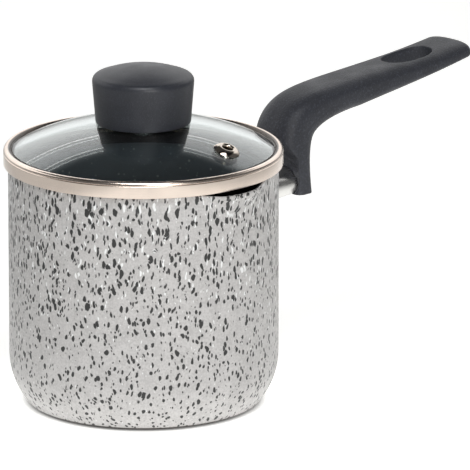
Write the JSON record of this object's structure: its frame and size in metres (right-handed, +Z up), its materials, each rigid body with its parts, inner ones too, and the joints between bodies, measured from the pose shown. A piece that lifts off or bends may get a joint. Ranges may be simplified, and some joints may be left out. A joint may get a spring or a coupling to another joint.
{
  "type": "saucepan with glass lid",
  "caption": "Small deep saucepan with a pouring lip, a curved moulded handle with a hanging slot, and a domed glass lid with a steel rim, knob and steam vent.",
  "frame": {"origin": "centre of the base plate's underside, on the surface the pan stands on", "axes": "+Z up through the lid's knob, +X along the handle, -Y towards the pouring lip"},
  "size_m": [0.2584, 0.1268, 0.1531],
  "materials": {
    "granite_coating": "light grey baked coating with charcoal flecks outside, black non-stick inside",
    "base_steel": "turned",
    "cast_aluminium": "as cast",
    "polished_steel": "polished stainless steel",
    "rim_steel": "satin stainless steel",
    "screw_steel": "bright zinc plated steel",
    "handle_plastic": "fine moulded texture",
    "knob_plastic": "satin moulded",
    "lid_glass": "clear toughened glass",
    "insert_brass": "machined",
    "gasket_silicone": "translucent grey silicone"
  },
  "bodies": {
    "pan": {"pan_body": "granite_coating", "base_plate": "base_steel", "handle_bracket": "cast_aluminium", "bracket_studs": "cast_aluminium", "bracket_nut": "screw_steel", "flame_guard": "polished_steel", "handle_grip": "handle_plastic", "handle_screw": "screw_steel", "handle_washer": "screw_steel"},
    "lid": {"lid_glass": "lid_glass", "lid_rim": "rim_steel", "lid_knob": "knob_plastic", "knob_insert": "insert_brass", "knob_screw": "screw_steel", "knob_washer": "screw_steel", "knob_gasket": "gasket_silicone", "glass_gasket": "gasket_silicone", "vent_eyelet": "polished_steel", "vent_ring": "polished_steel"}
  },
  "joints": [
    {"name": "lid_lift", "type": "slide", "parent": "pan", "child": "lid", "axis": [0, 0, 1], "range_m": [0, 0.09]}
  ]
}
